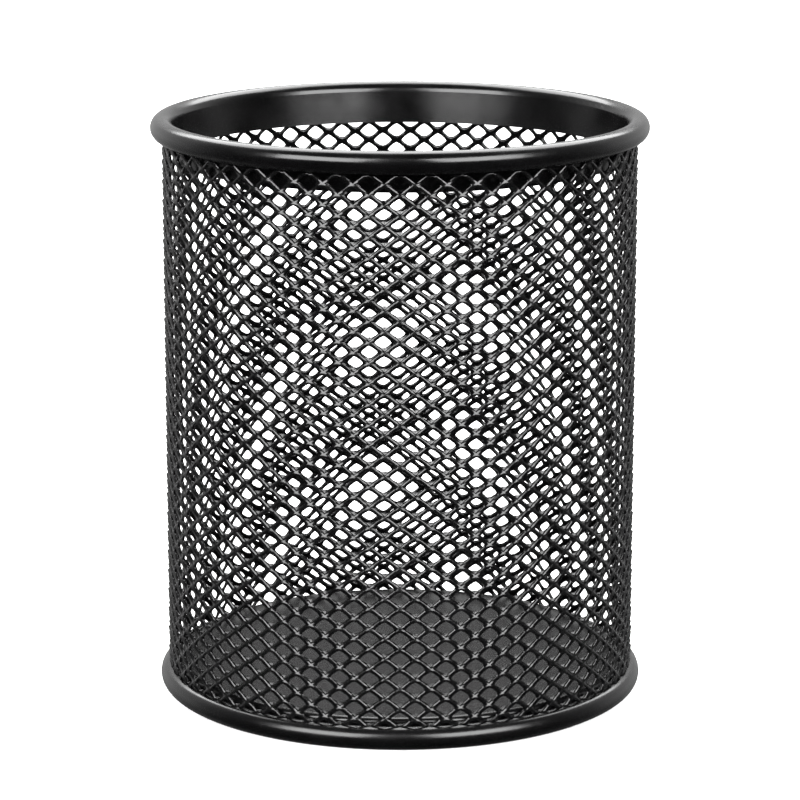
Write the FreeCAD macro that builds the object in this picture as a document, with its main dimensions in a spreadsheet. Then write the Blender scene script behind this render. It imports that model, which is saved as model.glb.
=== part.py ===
"""Pen holder cup: a tube of expanded-metal mesh between a rolled rim band and a stamped base pan.

Every piece stands where the real one does: the mesh is outside the rim's skirt, its foot stands
on the pan's rolled bead, and spot welds hold it to both and close its lap. +Z is up, and the
origin is the centre of the cup on the surface that it stands on. All lengths are in millimetres.
"""
import FreeCAD, Part
import math
import os
import Sketcher

# Driving dimensions. The cells of the sheet hold these, and every object reads its size there.
DIMENSIONS = {
    "cup_height": 100.0,
    # rim band: one strip, a skirt inside the mesh that leans in, and a bead rolled outwards
    "rim_radius": 42.5,
    "rim_bead_radius": 1.9,
    "rim_sheet": 0.5,
    "rim_skirt_foot": 92.9,
    "rim_skirt_lean": 8.5,
    "rim_roll_end": 230.0,
    # base pan: a flat plate, a short flange down and a bead rolled outwards below it
    "pan_radius": 42.0,
    "pan_bead_radius": 1.95,
    "pan_sheet": 0.8,
    "pan_plate_top": 4.85,
    "pan_corner_radius": 0.9,
    "pan_roll_end": 122.0,
    "pan_bead_sink": 0.04,
    # mesh wall: expanded metal, as deep as its tilted strands, rolled into a tube
    "mesh_radius": 40.85,
    "mesh_depth": 1.5,
    "mesh_end_gap": 0.1,
    "lap_gap": 0.12,
    "lap_start": 5.0,
    "lap_end": 13.0,
    "lap_step": 0.3,
    # spot welds
    "rim_weld_radius": 0.8,
    "rim_weld_height": 95.2,
    "base_weld_radius": 0.6,
    "seam_weld_radius": 1.0,
    "seam_weld_low": 12.0,
    "seam_weld_pitch": 19.0,
}
SEAM_WELDS = 5
RING_WELDS = 8

# The mesh ends just short of the two beads.
MESH_FOOT = "2 * Sheet.pan_bead_radius - Sheet.pan_bead_sink + Sheet.mesh_end_gap"
MESH_TOP = "Sheet.cup_height - 2 * Sheet.rim_bead_radius - Sheet.mesh_end_gap"

# How a sketch names the ends of its lines and arcs, its origin and its two axes.
START, END, CENTRE = 1, 2, 3
ORIGIN_POINT = (-1, 1)
GROUND, AXIS = -1, -2

doc = FreeCAD.newDocument("PenHolderCup")


def make_sheet():
    """The driving dimensions, one cell a line, each with its name as the alias."""
    table = doc.addObject("Spreadsheet::Sheet", "Sheet")
    for row, (name, value) in enumerate(DIMENSIONS.items(), start=1):
        table.set(f"A{row}", name)
        table.set(f"B{row}", str(value))
        table.setAlias(f"B{row}", name)
    doc.recompute()
    return table


sheet = make_sheet()


def origin_plane(body, role):
    """One of the body's own origin planes."""
    return next(item for item in body.Origin.OriginFeatures if item.Role == role)


def new_body(label):
    body = doc.addObject("PartDesign::Body", label)
    body.Label = label
    return body


def new_sketch(body, role):
    sketch = body.newObject("Sketcher::SketchObject", f"{body.Name}_profile")
    sketch.AttachmentSupport = [(origin_plane(body, role), "")]
    sketch.MapMode = "FlatFace"
    return sketch


def vector(x, y):
    return FreeCAD.Vector(x, y, 0)


def polar(centre, radius, degrees):
    """The point at that angle on a circle round centre."""
    angle = math.radians(degrees)
    return centre + vector(radius * math.cos(angle), radius * math.sin(angle))


def line(sketch, start, end):
    return sketch.addGeometry(Part.LineSegment(start, end))


def arc(sketch, centre, radius, first_degrees, last_degrees):
    """An arc drawn anticlockwise from the first angle to the last."""
    circle = Part.Circle(centre, FreeCAD.Vector(0, 0, 1), radius)
    first = math.radians(first_degrees)
    last = math.radians(last_degrees)
    return sketch.addGeometry(Part.ArcOfCircle(circle, first, last))


def join(sketch, first, first_end, second, second_end):
    sketch.addConstraint(Sketcher.Constraint("Coincident", first, first_end, second, second_end))


def smooth(sketch, first, first_end, second, second_end):
    """Join two ends with no kink between them."""
    sketch.addConstraint(Sketcher.Constraint("Tangent", first, first_end, second, second_end))


def vertical(sketch, *lines):
    for item in lines:
        sketch.addConstraint(Sketcher.Constraint("Vertical", item))


def horizontal(sketch, *lines):
    for item in lines:
        sketch.addConstraint(Sketcher.Constraint("Horizontal", item))


def drive(sketch, name, formula, constraint):
    """Add a dimension, name it and let the sheet set its value."""
    index = sketch.addConstraint(constraint)
    sketch.renameConstraint(index, name)
    sketch.setExpression(f"Constraints.{name}", formula)


def place_point(sketch, name, geometry, end, radius_formula, height_formula, point):
    """Dimension one point of the profile from the cup's axis and from the ground."""
    sideways = Sketcher.Constraint("DistanceX", *ORIGIN_POINT, geometry, end, point.x)
    upwards = Sketcher.Constraint("DistanceY", *ORIGIN_POINT, geometry, end, point.y)
    drive(sketch, f"{name}_radius", radius_formula, sideways)
    drive(sketch, f"{name}_height", height_formula, upwards)


def revolve(body, sketch):
    turned = body.newObject("PartDesign::Revolution", f"{body.Name}_turned")
    turned.Profile = sketch
    turned.ReferenceAxis = (sketch, ["V_Axis"])
    turned.Angle = 360.0
    sketch.Visibility = False
    return turned


def make_rim_band():
    """The skirt leans in from the mesh, and the bead is rolled outwards from its top edge."""
    bead = sheet.rim_bead_radius
    skin = sheet.rim_sheet
    foot = sheet.rim_skirt_foot
    centre = vector(sheet.rim_radius - bead, sheet.cup_height - bead)
    roll_end = sheet.rim_roll_end
    lean = math.radians(sheet.rim_skirt_lean)
    skirt_start = 540 - sheet.rim_skirt_lean
    inner_top = polar(centre, bead, skirt_start)
    outer_top = polar(centre, bead - skin, skirt_start)
    inner_foot = vector(inner_top.x - (inner_top.y - foot) * math.tan(lean), foot)
    outer_foot = vector(outer_top.x - (outer_top.y - foot) * math.tan(lean), foot)

    body = new_body("rim_band")
    sketch = new_sketch(body, "XZ_Plane")
    foot_edge = line(sketch, inner_foot, outer_foot)
    outer_face = line(sketch, outer_foot, outer_top)
    roll_inside = arc(sketch, centre, bead - skin, roll_end, skirt_start)
    cut_edge = line(sketch, polar(centre, bead - skin, roll_end), polar(centre, bead, roll_end))
    roll_outside = arc(sketch, centre, bead, roll_end, skirt_start)
    inner_face = line(sketch, inner_top, inner_foot)

    join(sketch, foot_edge, END, outer_face, START)
    smooth(sketch, outer_face, END, roll_inside, END)
    join(sketch, roll_inside, START, cut_edge, START)
    join(sketch, cut_edge, END, roll_outside, START)
    smooth(sketch, roll_outside, END, inner_face, START)
    join(sketch, inner_face, END, foot_edge, START)
    join(sketch, roll_inside, CENTRE, roll_outside, CENTRE)
    horizontal(sketch, foot_edge)
    sketch.addConstraint(Sketcher.Constraint("Parallel", outer_face, inner_face))
    on_radius = Sketcher.Constraint("PointOnObject", roll_outside, CENTRE, cut_edge)
    sketch.addConstraint(on_radius)

    place_point(sketch, "bead", roll_outside, CENTRE, "Sheet.rim_radius - Sheet.rim_bead_radius",
                "Sheet.cup_height - Sheet.rim_bead_radius", centre)
    drive(sketch, "bead_size", "Sheet.rim_bead_radius",
          Sketcher.Constraint("Radius", roll_outside, bead))
    drive(sketch, "sheet_size", "Sheet.rim_bead_radius - Sheet.rim_sheet",
          Sketcher.Constraint("Radius", roll_inside, bead - skin))
    drive(sketch, "skirt_slope", "(90 - Sheet.rim_skirt_lean) * 1 deg",
          Sketcher.Constraint("Angle", outer_face, math.pi / 2 - lean))
    drive(sketch, "foot_height", "Sheet.rim_skirt_foot",
          Sketcher.Constraint("DistanceY", *ORIGIN_POINT, foot_edge, START, foot))
    drive(sketch, "roll_end_rise", "Sheet.rim_bead_radius * sin(Sheet.rim_roll_end * 1 deg)",
          Sketcher.Constraint("DistanceY", roll_outside, CENTRE, cut_edge, END,
                              bead * math.sin(math.radians(roll_end))))
    revolve(body, sketch)
    return body


def make_base_pan():
    """A plate, a flange down from its edge and a bead rolled outwards, flattened where it stands."""
    bead = sheet.pan_bead_radius
    skin = sheet.pan_sheet
    top = sheet.pan_plate_top
    corner = sheet.pan_corner_radius
    centre = vector(sheet.pan_radius - bead, bead - sheet.pan_bead_sink)
    face = centre.x - bead + skin
    bend = vector(face - corner, top - corner)
    roll_end = sheet.pan_roll_end
    half_land = math.sqrt(bead ** 2 - centre.y ** 2)
    land_angle = math.degrees(math.atan2(centre.y, half_land))

    body = new_body("base_pan")
    sketch = new_sketch(body, "XZ_Plane")
    axis_edge = line(sketch, vector(0, top - skin), vector(0, top))
    plate_top = line(sketch, vector(0, top), vector(bend.x, top))
    bend_outside = arc(sketch, bend, corner, 0, 90)
    flange_outside = line(sketch, vector(face, bend.y), vector(face, centre.y))
    roll_inside = arc(sketch, centre, bead - skin, 180, roll_end + 360)
    cut_edge = line(sketch, polar(centre, bead - skin, roll_end), polar(centre, bead, roll_end))
    roll_outside = arc(sketch, centre, bead, -land_angle, roll_end)
    land = line(sketch, vector(centre.x + half_land, 0), vector(centre.x - half_land, 0))
    roll_inner_side = arc(sketch, centre, bead, 180, 180 + land_angle)
    flange_inside = line(sketch, vector(face - skin, centre.y), vector(face - skin, bend.y))
    bend_inside = arc(sketch, bend, corner - skin, 0, 90)
    plate_underside = line(sketch, vector(bend.x, top - skin), vector(0, top - skin))

    join(sketch, axis_edge, END, plate_top, START)
    smooth(sketch, plate_top, END, bend_outside, END)
    smooth(sketch, bend_outside, START, flange_outside, START)
    smooth(sketch, flange_outside, END, roll_inside, START)
    join(sketch, roll_inside, END, cut_edge, START)
    join(sketch, cut_edge, END, roll_outside, END)
    join(sketch, roll_outside, START, land, START)
    join(sketch, land, END, roll_inner_side, END)
    smooth(sketch, roll_inner_side, START, flange_inside, START)
    smooth(sketch, flange_inside, END, bend_inside, START)
    smooth(sketch, bend_inside, END, plate_underside, START)
    join(sketch, plate_underside, END, axis_edge, START)
    join(sketch, bend_inside, CENTRE, bend_outside, CENTRE)
    join(sketch, roll_outside, CENTRE, roll_inside, CENTRE)
    join(sketch, roll_inner_side, CENTRE, roll_inside, CENTRE)
    vertical(sketch, axis_edge, flange_outside, flange_inside)
    horizontal(sketch, plate_top, land, plate_underside)
    sketch.addConstraint(Sketcher.Constraint("Equal", roll_inner_side, roll_outside))
    on_radius = Sketcher.Constraint("PointOnObject", roll_outside, CENTRE, cut_edge)
    sketch.addConstraint(on_radius)

    on_axis = Sketcher.Constraint("PointOnObject", axis_edge, START, AXIS)
    sketch.addConstraint(on_axis)
    on_ground = Sketcher.Constraint("PointOnObject", land, START, GROUND)
    sketch.addConstraint(on_ground)
    place_point(sketch, "bead", roll_outside, CENTRE, "Sheet.pan_radius - Sheet.pan_bead_radius",
                "Sheet.pan_bead_radius - Sheet.pan_bead_sink", centre)
    drive(sketch, "bead_size", "Sheet.pan_bead_radius",
          Sketcher.Constraint("Radius", roll_outside, bead))
    drive(sketch, "sheet_size", "Sheet.pan_sheet",
          Sketcher.Constraint("Distance", axis_edge, skin))
    drive(sketch, "plate_height", "Sheet.pan_plate_top",
          Sketcher.Constraint("DistanceY", *ORIGIN_POINT, axis_edge, END, top))
    drive(sketch, "corner_size", "Sheet.pan_corner_radius",
          Sketcher.Constraint("Radius", bend_outside, corner))
    drive(sketch, "roll_end_rise", "Sheet.pan_bead_radius * sin(Sheet.pan_roll_end * 1 deg)",
          Sketcher.Constraint("DistanceY", roll_outside, CENTRE, cut_edge, END,
                              bead * math.sin(math.radians(roll_end))))
    revolve(body, sketch)
    return body


def make_mesh_wall():
    """The sheet is rolled once round: its two ends are pressed thinner and lap over each other."""
    outer = sheet.mesh_radius
    inner = outer - sheet.mesh_depth
    lap_inside = (outer + inner - sheet.lap_gap) / 2
    lap_outside = (outer + inner + sheet.lap_gap) / 2
    start = sheet.lap_start
    end = sheet.lap_end
    step = sheet.lap_step
    axis = vector(0, 0)

    body = new_body("mesh_wall")
    sketch = new_sketch(body, "XY_Plane")
    inner_face = arc(sketch, axis, inner, start, start - step + 360)
    inner_step = line(sketch, polar(axis, inner, start - step),
                      polar(axis, lap_outside, start - step))
    outer_layer = arc(sketch, axis, lap_outside, start - step, end)
    outer_end = line(sketch, polar(axis, lap_outside, end), polar(axis, outer, end))
    outer_face = arc(sketch, axis, outer, end + step, end + 360)
    outer_step = line(sketch, polar(axis, outer, end + step), polar(axis, lap_inside, end + step))
    inner_layer = arc(sketch, axis, lap_inside, start, end + step)
    inner_end = line(sketch, polar(axis, lap_inside, start), polar(axis, inner, start))

    join(sketch, inner_face, END, inner_step, START)
    join(sketch, inner_step, END, outer_layer, START)
    join(sketch, outer_layer, END, outer_end, START)
    join(sketch, outer_end, END, outer_face, END)
    join(sketch, outer_face, START, outer_step, START)
    join(sketch, outer_step, END, inner_layer, END)
    join(sketch, inner_layer, START, inner_end, START)
    join(sketch, inner_end, END, inner_face, START)

    mid = "(2 * Sheet.mesh_radius - Sheet.mesh_depth)"
    arcs = (
        ("inner_face_size", inner_face, inner, "Sheet.mesh_radius - Sheet.mesh_depth"),
        ("outer_layer_size", outer_layer, lap_outside, f"({mid} + Sheet.lap_gap) / 2"),
        ("outer_face_size", outer_face, outer, "Sheet.mesh_radius"),
        ("inner_layer_size", inner_layer, lap_inside, f"({mid} - Sheet.lap_gap) / 2"),
    )
    for name, curve, radius, formula in arcs:
        join(sketch, curve, CENTRE, *ORIGIN_POINT)
        drive(sketch, name, formula, Sketcher.Constraint("Radius", curve, radius))

    ends = (
        ("inner_step_angle", inner_step, START, END, inner, start - step,
         "Sheet.mesh_radius - Sheet.mesh_depth", "(Sheet.lap_start - Sheet.lap_step)"),
        ("outer_end_angle", outer_end, END, START, outer, end,
         "Sheet.mesh_radius", "Sheet.lap_end"),
        ("outer_step_angle", outer_step, START, END, outer, end + step,
         "Sheet.mesh_radius", "(Sheet.lap_end + Sheet.lap_step)"),
        ("inner_end_angle", inner_end, END, START, inner, start,
         "Sheet.mesh_radius - Sheet.mesh_depth", "Sheet.lap_start"),
    )
    for name, edge, held_end, far_end, radius, degrees, radius_formula, angle_formula in ends:
        height = radius * math.sin(math.radians(degrees))
        drive(sketch, name, f"({radius_formula}) * sin({angle_formula} * 1 deg)",
              Sketcher.Constraint("DistanceY", *ORIGIN_POINT, edge, held_end, height))
        through_axis = Sketcher.Constraint("PointOnObject", *ORIGIN_POINT, edge)
        sketch.addConstraint(through_axis)

    wall = body.newObject("PartDesign::Pad", "mesh_wall_rolled")
    wall.Profile = sketch
    sketch.setExpression("AttachmentOffset.Base.z", MESH_FOOT)
    wall.setExpression("Length", f"{MESH_TOP} - ({MESH_FOOT})")
    sketch.Visibility = False
    return body


def make_cylinder(name, radius_formula):
    """An upright cylinder as tall as the cup."""
    cylinder = doc.addObject("Part::Cylinder", name)
    cylinder.setExpression("Radius", radius_formula)
    cylinder.setExpression("Height", "Sheet.cup_height")
    return cylinder


def make_skirt_cone():
    """The cone that the outer face of the leaning skirt lies on, from the ground to the top."""
    slope = "tan(Sheet.rim_skirt_lean * 1 deg)"
    at_bead = ("(Sheet.rim_radius - Sheet.rim_bead_radius"
               " - (Sheet.rim_bead_radius - Sheet.rim_sheet) / cos(Sheet.rim_skirt_lean * 1 deg))")
    cone = doc.addObject("Part::Cone", "skirt_cone")
    cone.setExpression("Radius1",
                       f"{at_bead} - (Sheet.cup_height - Sheet.rim_bead_radius) * {slope}")
    cone.setExpression("Radius2", f"{at_bead} + Sheet.rim_bead_radius * {slope}")
    cone.setExpression("Height", "Sheet.cup_height")
    return cone


def make_gap(name, inside, outer_formula):
    """The thin tube of space between two faces, which a weld nugget bridges."""
    gap = doc.addObject("Part::Cut", name)
    gap.Base = make_cylinder(f"{name}_outer", outer_formula)
    gap.Tool = inside
    return gap


def make_wall_weld(label, gap, degrees, radius_formula, height_formula):
    """A nugget between two upright sheets: a pin that points outwards, kept only in their gap."""
    pin = doc.addObject("Part::Cylinder", f"{label}_pin")
    pin.setExpression("Radius", radius_formula)
    pin.setExpression("Height", "Sheet.rim_radius")
    turn = FreeCAD.Rotation(FreeCAD.Vector(0, 0, 1), degrees)
    lie_down = FreeCAD.Rotation(FreeCAD.Vector(0, 1, 0), 90)
    pin.Placement = FreeCAD.Placement(FreeCAD.Vector(0, 0, 0), turn.multiply(lie_down))
    pin.setExpression("Placement.Base.z", height_formula)
    nugget = doc.addObject("Part::Common", label)
    nugget.Label = label
    nugget.Base = gap
    nugget.Tool = pin
    return nugget


def make_foot_weld(label, bead, degrees):
    """A nugget under the mesh's foot: an upright pin, cut off by the bead that it stands on."""
    pin = doc.addObject("Part::Cylinder", f"{label}_pin")
    pin.setExpression("Radius", "Sheet.base_weld_radius")
    pin.setExpression("Height", f"{MESH_FOOT} - Sheet.pan_bead_radius")
    angle = f"{degrees} deg"
    ring = "(Sheet.pan_radius - Sheet.pan_bead_radius)"
    pin.setExpression("Placement.Base.x", f"{ring} * cos({angle})")
    pin.setExpression("Placement.Base.y", f"{ring} * sin({angle})")
    pin.setExpression("Placement.Base.z", "Sheet.pan_bead_radius")
    nugget = doc.addObject("Part::Cut", label)
    nugget.Label = label
    nugget.Base = pin
    nugget.Tool = bead
    return nugget


def make_solid_bead():
    """The pan's bead as a full ring, for shaping what stands on it."""
    bead = doc.addObject("Part::Torus", "pan_bead_form")
    bead.setExpression("Radius1", "Sheet.pan_radius - Sheet.pan_bead_radius")
    bead.setExpression("Radius2", "Sheet.pan_bead_radius")
    bead.setExpression("Placement.Base.z", "Sheet.pan_bead_radius - Sheet.pan_bead_sink")
    return bead


def ring_angles():
    """Angles evenly round the cup, starting half a space from +X to keep off the lap."""
    spacing = 360 / RING_WELDS
    return [(number + 0.5) * spacing for number in range(RING_WELDS)]


def make_rim_welds(gap):
    """Welds through the skirt and the top of the mesh."""
    return [make_wall_weld(f"rim_weld_{number}", gap, degrees, "Sheet.rim_weld_radius",
                           "Sheet.rim_weld_height")
            for number, degrees in enumerate(ring_angles(), start=1)]


def make_base_welds(bead):
    """Welds between the mesh's foot and the pan's bead."""
    return [make_foot_weld(f"base_weld_{number}", bead, degrees)
            for number, degrees in enumerate(ring_angles(), start=1)]


def make_seam_welds(gap):
    """Welds up the middle of the lap."""
    middle = (sheet.lap_start + sheet.lap_end) / 2
    return [make_wall_weld(f"seam_weld_{number + 1}", gap, middle, "Sheet.seam_weld_radius",
                           f"Sheet.seam_weld_low + {number} * Sheet.seam_weld_pitch")
            for number in range(SEAM_WELDS)]


def make_all_welds():
    mesh_middle = "Sheet.mesh_radius - Sheet.mesh_depth / 2"
    rim_gap = make_gap("rim_gap", make_skirt_cone(), "Sheet.mesh_radius - Sheet.mesh_depth")
    seam_inside = make_cylinder("seam_inside", f"{mesh_middle} - Sheet.lap_gap / 2")
    seam_gap = make_gap("seam_gap", seam_inside, f"{mesh_middle} + Sheet.lap_gap / 2")
    return (make_rim_welds(rim_gap) + make_base_welds(make_solid_bead())
            + make_seam_welds(seam_gap))


def check(pieces):
    """Stop on any object that failed, and on any piece that isn't one valid solid."""
    for item in doc.Objects:
        if "Invalid" in item.State or "Error" in item.State:
            raise RuntimeError(f"{item.Label} failed: {item.State}")
    for piece in pieces:
        shape = piece.Shape
        if shape.isNull() or not shape.isValid() or len(shape.Solids) != 1:
            raise RuntimeError(f"{piece.Label} isn't one valid solid")
        box = shape.BoundBox
        print(f"{piece.Label}: {shape.Volume:.2f} mm3, z {box.ZMin:.2f} to {box.ZMax:.2f}")


def export(pieces):
    os.makedirs("parts", exist_ok=True)
    for piece in pieces:
        piece.Shape.exportStep(f"parts/{piece.Label}.step")


pieces = [make_rim_band(), make_mesh_wall(), make_base_pan()] + make_all_welds()
doc.recompute()
check(pieces)
export(pieces)
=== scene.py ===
import math

import bmesh
import bpy
import numpy as np
from mathutils import Matrix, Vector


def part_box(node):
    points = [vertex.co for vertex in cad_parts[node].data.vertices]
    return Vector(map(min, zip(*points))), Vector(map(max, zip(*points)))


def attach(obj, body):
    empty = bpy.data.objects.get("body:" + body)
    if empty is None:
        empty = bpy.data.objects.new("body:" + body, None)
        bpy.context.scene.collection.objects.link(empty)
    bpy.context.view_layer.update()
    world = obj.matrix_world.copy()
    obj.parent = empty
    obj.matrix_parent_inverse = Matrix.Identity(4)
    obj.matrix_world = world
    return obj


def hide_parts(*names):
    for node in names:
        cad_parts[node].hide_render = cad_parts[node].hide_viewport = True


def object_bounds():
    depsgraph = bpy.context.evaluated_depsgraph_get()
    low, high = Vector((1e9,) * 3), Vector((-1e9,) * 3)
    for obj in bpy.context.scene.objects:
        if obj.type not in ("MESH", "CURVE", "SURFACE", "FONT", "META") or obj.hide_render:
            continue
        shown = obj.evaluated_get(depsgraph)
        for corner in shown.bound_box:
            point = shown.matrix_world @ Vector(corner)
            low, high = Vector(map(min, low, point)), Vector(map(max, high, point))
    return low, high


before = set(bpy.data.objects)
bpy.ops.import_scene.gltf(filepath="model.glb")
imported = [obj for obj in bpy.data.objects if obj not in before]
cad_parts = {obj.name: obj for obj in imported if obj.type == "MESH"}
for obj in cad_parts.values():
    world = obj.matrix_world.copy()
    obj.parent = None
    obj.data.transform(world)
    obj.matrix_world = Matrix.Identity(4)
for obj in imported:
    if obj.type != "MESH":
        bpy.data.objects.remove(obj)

CAD_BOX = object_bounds()
MM = 0.001

WALL_LOW, WALL_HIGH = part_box("mesh_wall")
WALL_FOOT = WALL_LOW[2]
WALL_TOP = WALL_HIGH[2]
WALL_OUTSIDE = WALL_HIGH[0]
WALL_DEPTH = 1.5 * MM
WALL_RADIUS = WALL_OUTSIDE - WALL_DEPTH / 2
CUP_HEIGHT = CAD_BOX[1][2]
FRONT = -math.pi / 2

# Expanded metal. An opening is a rounded diamond, and columns stand half an opening apart.
COLUMNS_ROUND = 50.25
COLUMN_PITCH = 2 * math.pi / COLUMNS_ROUND
ROW_PITCH = 3.435 * MM
FIRST_OPENING = 5.16 * MM
OPENING_HALF_WIDTH = 1.58 * MM
OPENING_HALF_HEIGHT = 1.29 * MM
OPENING_SQUARENESS = 1.25
SHEET_THICKNESS = 0.44 * MM
EDGE_ROUNDING = 0.16 * MM

# A strand leans, and its crest bows up between the bonds, where two strands are one. Under an
# opening's foot the bond is thicker at its back and comes up a little.
STRAND_RISE = 0.39 * MM
STRAND_BOW = 0.09 * MM
BOND_THICKNESS = 0.32 * MM
BOND_RISE = 0.22 * MM
BOND_NARROWNESS = 8

# Each opening, and the diamond round it, is a ring of this many points. Points of neighbours that
# are nearer than a merge step (of angle, height, lean and kind) are one point.
RING_POINTS = 12
MERGE_STEPS = (1e-5, 1e-8, 1e-3, 1)

# The lap, as in the CAD wall: the inner end starts at LAP_START and the outer ends at LAP_END.
LAP_START = math.radians(5)
LAP_END = math.radians(13)
LAP_BLEND = math.radians(4)
LAP_PRESS = 0.3
LAP_SHIFT = 0.36 * MM

# A spot weld of the lap, from its dished middle to its edge: radius and half thickness, in mm.
SPOT_SECTION = ((0.6, 0.54), (0.9, 0.62), (1.1, 0.52), (1.22, 0.28))
SPOT_STEPS = 24
SPOTS = 5

# Powder coat: noise between these two levels spreads its depth of colour and its gloss.
NOISE_LOW, NOISE_HIGH = 0.3, 0.7
TINT_LOW, TINT_HIGH = 0.75, 1.3
GLOSS_SPREAD = 0.04
PATCHES_PER_METRE = 160.0

# The light all round, by how far behind the cup it comes from: 0 is in front and 1 is behind.
WORLD_LEVELS = ((0.0, 0.03), (0.25, 0.03), (0.43, 0.055), (0.585, 0.25), (0.74, 0.68), (0.87, 0.8),
                (1.0, 0.65))
LIGHT_FROM_BELOW = 0.2

CAMERA_DISTANCE = 604.9 * MM
CAMERA_RISE = math.radians(13.07)


# ---------------------------------------------------------------- the mesh wall

def opening_outline():
    """The ring round an opening from its foot, clockwise as seen from outside, in (-1, 1)."""
    power = 2 / OPENING_SQUARENESS
    points = []
    for step in range(RING_POINTS):
        angle = -math.pi / 2 - step * 2 * math.pi / RING_POINTS
        across = math.cos(angle)
        up = math.sin(angle)
        points.append((math.copysign(abs(across) ** power, across),
                       math.copysign(abs(up) ** power, up)))
    return points


def cell_outline():
    """The ring round the diamond between four bonds, whose points face those of the opening."""
    near_bond = 0.3
    bow = STRAND_BOW / (ROW_PITCH / 2)
    corners = [(0, -1), (-1, 0), (0, 1), (1, 0)]
    points = []
    for start, end in zip(corners, corners[1:] + corners[:1]):
        for share, lift in ((0, 0), (near_bond, bow), (1 - near_bond, bow)):
            points.append((start[0] + share * (end[0] - start[0]),
                           start[1] + share * (end[1] - start[1]) + lift))
    return points


def flat_cells():
    """Vertices (angle, height, lean, at an opening) and quads of the sheet, with its openings."""
    inner = np.array(opening_outline())
    outer = np.array(cell_outline())
    half_column = COLUMN_PITCH / 2
    front = FRONT + 2 * math.pi
    first = math.floor((LAP_START - front) / half_column) - 1
    last = math.ceil((LAP_END + 2 * math.pi - front) / half_column) + 1
    rows = math.ceil((WALL_TOP - FIRST_OPENING) / ROW_PITCH) + 2
    verts = []
    for column in range(first, last + 1):
        for row in range(-2, rows):
            angle = front + column * half_column
            height = FIRST_OPENING + (row + (column % 2) / 2) * ROW_PITCH
            edge = np.column_stack((angle + outer[:, 0] * half_column,
                                    height + outer[:, 1] * ROW_PITCH / 2,
                                    np.zeros(RING_POINTS), np.zeros(RING_POINTS)))
            hole = np.column_stack((angle + inner[:, 0] * OPENING_HALF_WIDTH / WALL_RADIUS,
                                    height + inner[:, 1] * OPENING_HALF_HEIGHT,
                                    -inner[:, 1], np.ones(RING_POINTS)))
            verts.append(np.concatenate((edge, hole)))
    cells = len(verts)
    verts = np.concatenate(verts)
    ring = np.arange(RING_POINTS)
    after = (ring + 1) % RING_POINTS
    quads = np.column_stack((ring, after, after + RING_POINTS, ring + RING_POINTS))
    cell_starts = 2 * RING_POINTS * np.arange(cells)
    quads = (quads[None] + cell_starts[:, None, None]).reshape(-1, 4)
    rounded = np.round(verts / MERGE_STEPS).astype(np.int64)
    _, first_index, merged = np.unique(rounded, axis=0, return_index=True, return_inverse=True)
    return verts[first_index], merged.reshape(-1)[quads]


def smoothstep(value):
    value = np.clip(value, 0, 1)
    return value * value * (3 - 2 * value)


def lean_strands(verts):
    """Each strand leans back, its lower edge out. In the lap both layers are pressed flat.

    Returns the points (along, height, out), which of them are round an opening, and the bulge of
    the sheet's back there.
    """
    angle, height, lean, at_edge = verts.T
    inner_layer = 1 - smoothstep((angle - LAP_END) / LAP_BLEND)
    outer_layer = smoothstep((angle - (LAP_START + 2 * math.pi - LAP_BLEND)) / LAP_BLEND)
    pressed = inner_layer + outer_layer
    out = -lean * STRAND_RISE * (1 - (1 - LAP_PRESS) * pressed)
    out += LAP_SHIFT * (outer_layer - inner_layer)
    bond = np.clip(lean, 0, 1) ** BOND_NARROWNESS
    bulge = np.column_stack((np.zeros_like(bond), BOND_RISE * bond, -BOND_THICKNESS * bond))
    return np.column_stack((angle * WALL_RADIUS, height, out)), at_edge == 1, bulge


def unit(vectors):
    return vectors / np.linalg.norm(vectors, axis=1)[:, None]


def thicken(points, quads, at_edge, bulge):
    """Both faces of the sheet and the cut faces round every opening, whose front edge is round."""
    corner = points[quads]
    face = np.cross(corner[:, 2] - corner[:, 0], corner[:, 3] - corner[:, 1])
    normal = np.zeros_like(points)
    for side in range(4):
        np.add.at(normal, quads[:, side], face)
    normal = unit(normal)
    to_opening = np.zeros_like(points)
    to_opening[quads[:, 3]] = unit(corner[:, 3] - corner[:, 0])

    half = SHEET_THICKNESS / 2
    front = points + normal * half - to_opening * EDGE_ROUNDING
    back = points - normal * half + bulge
    ridge = (points + normal * (half - EDGE_ROUNDING))[at_edge]
    count = len(points)
    ridge_index = 2 * count - 1 + np.cumsum(at_edge)
    left, right = quads[:, 3], quads[:, 2]
    ridge_left, ridge_right = ridge_index[left], ridge_index[right]
    rounding = np.column_stack((left, right, ridge_right, ridge_left))
    cut = np.column_stack((ridge_left, ridge_right, right + count, left + count))
    faces = np.concatenate((quads, quads[:, ::-1] + count, rounding, cut))
    return np.concatenate((front, back, ridge)), faces


def cut_square(mesh):
    """Cut the sheet at its foot, top and two ends, and close the cut strands."""
    bm = bmesh.new()
    bm.from_mesh(mesh)
    start = LAP_START * WALL_RADIUS
    end = (LAP_END + 2 * math.pi) * WALL_RADIUS
    cuts = (((0, WALL_FOOT, 0), (0, -1, 0)), ((0, WALL_TOP, 0), (0, 1, 0)),
            ((start, 0, 0), (-1, 0, 0)), ((end, 0, 0), (1, 0, 0)))
    for place, away in cuts:
        everything = bm.verts[:] + bm.edges[:] + bm.faces[:]
        bmesh.ops.bisect_plane(bm, geom=everything, dist=1e-7, plane_co=place, plane_no=away,
                               clear_outer=True)
        open_edges = [edge for edge in bm.edges if edge.is_boundary]
        near = [edge for edge in open_edges if all(
            abs(sum((vert.co[i] - place[i]) * away[i] for i in range(3))) < 1e-6
            for vert in edge.verts)]
        bmesh.ops.holes_fill(bm, edges=near, sides=0)
    bm.to_mesh(mesh)
    bm.free()


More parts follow.
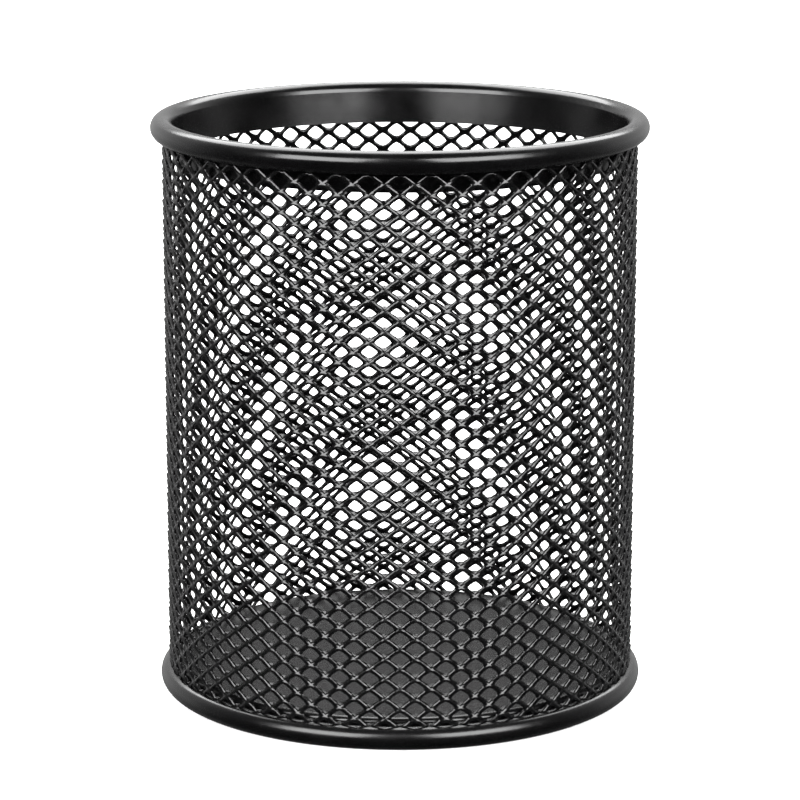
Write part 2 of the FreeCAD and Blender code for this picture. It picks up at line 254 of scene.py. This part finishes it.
def roll_up(mesh):
    """Roll the flat sheet round the cup's axis."""
    flat = np.empty(len(mesh.vertices) * 3)
    mesh.vertices.foreach_get("co", flat)
    along, height, out = flat.reshape(-1, 3).T
    angle = along / WALL_RADIUS
    radius = WALL_RADIUS + out
    rolled = np.column_stack((radius * np.cos(angle), radius * np.sin(angle), height))
    mesh.vertices.foreach_set("co", rolled.ravel())
    mesh.update()


def new_object(name, mesh, material):
    piece = bpy.data.objects.new(name, mesh)
    bpy.context.scene.collection.objects.link(piece)
    mesh.materials.append(material)
    mesh.shade_smooth()
    return piece


def make_mesh_wall(material):
    verts, quads = flat_cells()
    points, at_edge, bulge = lean_strands(verts)
    points, faces = thicken(points, quads, at_edge, bulge)
    mesh = bpy.data.meshes.new("expanded_metal")
    mesh.from_pydata(points.tolist(), [], faces.tolist())
    cut_square(mesh)
    roll_up(mesh)
    wall = new_object("expanded_metal_wall", mesh, material)
    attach(wall, "root")
    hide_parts("mesh_wall")


def make_seam_spot(number, material):
    """A spot weld of the lap: a flattened round pad, slightly dished, through both layers."""
    weld = f"seam_weld_{number}"
    low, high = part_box(weld)
    section = list(SPOT_SECTION)
    section += [(radius, -depth) for radius, depth in reversed(section)]
    verts = []
    for radius, depth in section:
        for step in range(SPOT_STEPS):
            turn = 2 * math.pi * step / SPOT_STEPS
            verts.append((depth * MM, radius * MM * math.cos(turn), radius * MM * math.sin(turn)))
    faces = [list(range(SPOT_STEPS))[::-1], list(range(len(verts) - SPOT_STEPS, len(verts)))]
    for ring in range(len(section) - 1):
        here = ring * SPOT_STEPS
        for step in range(SPOT_STEPS):
            after = (step + 1) % SPOT_STEPS
            faces.append((here + step, here + after,
                          here + SPOT_STEPS + after, here + SPOT_STEPS + step))
    mesh = bpy.data.meshes.new(f"seam_spot_{number}")
    mesh.from_pydata(verts, [], faces)
    angle = math.atan2(low[1] + high[1], low[0] + high[0])
    place = (WALL_RADIUS * math.cos(angle), WALL_RADIUS * math.sin(angle), (low[2] + high[2]) / 2)
    mesh.transform(Matrix.Translation(place) @ Matrix.Rotation(angle, 4, "Z"))
    spot = new_object(f"seam_spot_{number}", mesh, material)
    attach(spot, "root")
    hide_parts(weld)


# ---------------------------------------------------------------- materials

def node(tree, kind, **settings):
    made = tree.nodes.new(kind)
    for name, value in settings.items():
        made.inputs[name].default_value = value
    return made


def powder_coat(name, colour, roughness, grain_size, grain_height):
    """Black powder coat: a fine orange-peel skin, with faint changes of gloss and of depth."""
    material = bpy.data.materials.new(name)
    material.use_nodes = True
    tree = material.node_tree
    shader = tree.nodes["Principled BSDF"]
    shader.inputs["IOR"].default_value = 1.5

    place = tree.nodes.new("ShaderNodeTexCoord")
    peel = node(tree, "ShaderNodeTexNoise", Scale=1 / grain_size, Detail=2.0, Roughness=0.5)
    patches = node(tree, "ShaderNodeTexNoise", Scale=PATCHES_PER_METRE, Detail=3.0, Roughness=0.6)
    for noise in (peel, patches):
        tree.links.new(place.outputs["Object"], noise.inputs["Vector"])

    tint = tree.nodes.new("ShaderNodeValToRGB")
    for stop, position, tone in zip(tint.color_ramp.elements, (NOISE_LOW, NOISE_HIGH),
                                    (TINT_LOW, TINT_HIGH)):
        stop.position = position
        stop.color = (*[value * tone for value in colour], 1)
    tree.links.new(patches.outputs["Fac"], tint.inputs["Fac"])
    tree.links.new(tint.outputs["Color"], shader.inputs["Base Color"])

    gloss = node(tree, "ShaderNodeMapRange", **{
        "From Min": NOISE_LOW, "From Max": NOISE_HIGH,
        "To Min": roughness - GLOSS_SPREAD, "To Max": roughness + GLOSS_SPREAD})
    tree.links.new(patches.outputs["Fac"], gloss.inputs["Value"])
    tree.links.new(gloss.outputs["Result"], shader.inputs["Roughness"])

    bump = node(tree, "ShaderNodeBump", Strength=1.0, Distance=grain_height)
    tree.links.new(peel.outputs["Fac"], bump.inputs["Height"])
    tree.links.new(bump.outputs["Normal"], shader.inputs["Normal"])
    return material


def coat_nodes(prefix, material):
    """Give the CAD nodes of that name a material of the scene's."""
    for name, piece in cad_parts.items():
        if name.startswith(prefix):
            for place in piece.material_slots:
                place.material = material


# ---------------------------------------------------------------- stage, light and camera

def make_floor():
    bpy.ops.mesh.primitive_plane_add(size=6)
    floor = bpy.context.object
    floor.name = "floor"
    material = bpy.data.materials.new("pale_floor")
    material.use_nodes = True
    shader = material.node_tree.nodes["Principled BSDF"]
    shader.inputs["Base Color"].default_value = (0.9, 0.9, 0.9, 1)
    shader.inputs["Roughness"].default_value = 0.9
    shader.inputs["Emission Color"].default_value = (1, 1, 1, 1)
    shader.inputs["Emission Strength"].default_value = 0.55
    floor.data.materials.append(material)
    floor.visible_glossy = False


def make_world():
    """White all round for the camera. The light comes from behind and the sides, less from below."""
    world = bpy.data.worlds.new("studio")
    bpy.context.scene.world = world
    world.use_nodes = True
    tree = world.node_tree
    output = tree.nodes["World Output"]
    light = tree.nodes["Background"]
    seen = node(tree, "ShaderNodeBackground", Color=(1, 1, 1, 1), Strength=1.0)

    place = tree.nodes.new("ShaderNodeTexCoord")
    split = tree.nodes.new("ShaderNodeSeparateXYZ")
    behind = node(tree, "ShaderNodeMapRange", **{"From Min": -1.0})
    below = node(tree, "ShaderNodeMapRange", **{"From Min": -0.5, "From Max": 0.0,
                                                "To Min": LIGHT_FROM_BELOW})
    ramp = tree.nodes.new("ShaderNodeValToRGB")
    ramp.color_ramp.interpolation = "EASE"
    ramp.color_ramp.elements[1].position = 1.0
    for position, _ in WORLD_LEVELS[1:-1]:
        ramp.color_ramp.elements.new(position)
    for element, (position, level) in zip(ramp.color_ramp.elements, WORLD_LEVELS):
        element.position = position
        element.color = (level, level, level, 1)
    tree.links.new(place.outputs["Generated"], split.inputs["Vector"])
    tree.links.new(split.outputs["Y"], behind.inputs["Value"])
    tree.links.new(split.outputs["Z"], below.inputs["Value"])
    tree.links.new(behind.outputs["Result"], ramp.inputs["Fac"])
    tree.links.new(ramp.outputs["Color"], light.inputs["Color"])
    tree.links.new(below.outputs["Result"], light.inputs["Strength"])

    path = tree.nodes.new("ShaderNodeLightPath")
    mix = tree.nodes.new("ShaderNodeMixShader")
    tree.links.new(path.outputs["Is Camera Ray"], mix.inputs["Fac"])
    tree.links.new(light.outputs["Background"], mix.inputs[1])
    tree.links.new(seen.outputs["Background"], mix.inputs[2])
    tree.links.new(mix.outputs["Shader"], output.inputs["Surface"])


def make_softbox(name, azimuth, elevation, distance, width, height, radiance):
    """A soft light that faces the cup. Azimuth 0 is in front of it, positive to the right."""
    data = bpy.data.lights.new(name, "AREA")
    data.shape = "RECTANGLE"
    data.size = width
    data.size_y = height
    data.energy = radiance * math.pi * width * height
    lamp = bpy.data.objects.new(name, data)
    bpy.context.scene.collection.objects.link(lamp)
    side = math.radians(azimuth)
    rise = math.radians(elevation)
    lamp.location = (distance * math.sin(side) * math.cos(rise),
                     -distance * math.cos(side) * math.cos(rise),
                     distance * math.sin(rise) + CUP_HEIGHT / 2)
    lamp.rotation_euler = (math.pi / 2 - rise, 0, side)
    lamp.visible_camera = False


def make_camera():
    data = bpy.data.cameras.new("camera")
    camera = bpy.data.objects.new("camera", data)
    bpy.context.scene.collection.objects.link(camera)
    bpy.context.scene.camera = camera
    data.sensor_width = 36
    data.lens = 157
    data.clip_start = 0.01
    data.clip_end = 50
    camera.location = (0, -CAMERA_DISTANCE * math.cos(CAMERA_RISE),
                       CAMERA_DISTANCE * math.sin(CAMERA_RISE) + CUP_HEIGHT / 2)
    camera.rotation_euler = (math.pi / 2 - CAMERA_RISE, 0, 0)


coat_rim = powder_coat("coat_rim", (0.0014, 0.0014, 0.0015), roughness=0.21,
                       grain_size=0.9 * MM, grain_height=0.004 * MM)
coat_mesh = powder_coat("coat_mesh", (0.0018, 0.0018, 0.0019), roughness=0.19,
                        grain_size=0.5 * MM, grain_height=0.006 * MM)
coat_base = powder_coat("coat_base", (0.0016, 0.0016, 0.0017), roughness=0.23,
                        grain_size=0.9 * MM, grain_height=0.004 * MM)
coat_nodes("rim_band", coat_rim)
coat_nodes("base_pan", coat_base)
coat_nodes("rim_weld", coat_mesh)
coat_nodes("base_weld", coat_mesh)
make_mesh_wall(coat_mesh)
for spot_number in range(1, SPOTS + 1):
    make_seam_spot(spot_number, coat_mesh)

make_floor()
make_world()
for softbox, azimuth in (("softbox_left", -38), ("softbox_right", 38)):
    make_softbox(softbox, azimuth, elevation=30, distance=1.2, width=0.85, height=0.7,
                 radiance=10.5)
make_softbox("softbox_over", azimuth=180, elevation=52, distance=1.5, width=2.0, height=1.2,
             radiance=6.5)
make_camera()
bpy.context.scene.view_settings.view_transform = "Standard"
